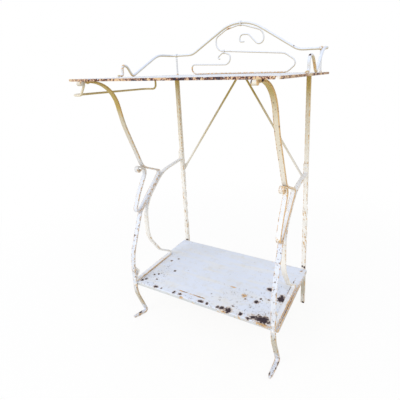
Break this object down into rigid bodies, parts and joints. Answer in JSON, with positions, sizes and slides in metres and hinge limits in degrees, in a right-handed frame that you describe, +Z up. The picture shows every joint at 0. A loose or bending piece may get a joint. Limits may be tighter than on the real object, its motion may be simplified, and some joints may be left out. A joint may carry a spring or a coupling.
{
  "type": "iron wash basin stand",
  "caption": "Open washstand of riveted iron straps and rods: plain sheet top with a scrolled back gallery, low shelf, curled front legs, twisted back legs and a side towel rail.",
  "frame": {"origin": "on the floor, under the middle of the whole stand", "axes": "+X along the width (the towel rail is on the -X side), +Y from the front to the gallery at the back, +Z up"},
  "size_m": [0.576, 0.455, 0.9457],
  "materials": {
    "cream_paint": "old chipped cream paint over iron, satin, with rust at the edges",
    "khaki_paint": "yellowed, grubby cream paint in the shade of the top",
    "gallery_paint": "thin cream paint worn through to brown rust",
    "rusty_rivet": "bare rusty iron with traces of paint"
  },
  "bodies": {
    "root": {"top_sheet": "cream_paint", "bearer_left": "khaki_paint", "bearer_right": "khaki_paint", "back_cross_bar": "khaki_paint", "shelf_tray": "cream_paint", "back_leg_left": "cream_paint", "back_leg_right": "cream_paint", "front_leg_upper_left": "cream_paint", "front_leg_upper_right": "cream_paint", "front_leg_lower_left": "cream_paint", "front_leg_lower_right": "cream_paint", "side_bow_left": "cream_paint", "side_bow_right": "cream_paint", "back_brace": "khaki_paint", "gallery_rail": "gallery_paint", "gallery_scroll": "gallery_paint", "gallery_post_left": "gallery_paint", "gallery_post_right": "gallery_paint", "peak_collar": "gallery_paint", "scroll_collar": "gallery_paint", "post_collar_left": "gallery_paint", "post_collar_right": "gallery_paint", "towel_rail": "khaki_paint", "leg_top_rivets": "rusty_rivet", "curl_rivets": "rusty_rivet", "knee_rivets": "rusty_rivet", "bow_tab_rivets": "rusty_rivet", "bow_end_rivets": "rusty_rivet", "bow_shelf_rivets": "rusty_rivet", "shelf_front_rivets": "rusty_rivet", "shelf_back_rivets": "rusty_rivet", "brace_rivets": "rusty_rivet", "top_sheet_rivets": "rusty_rivet", "gallery_foot_rivets": "rusty_rivet"}
  },
  "joints": []
}
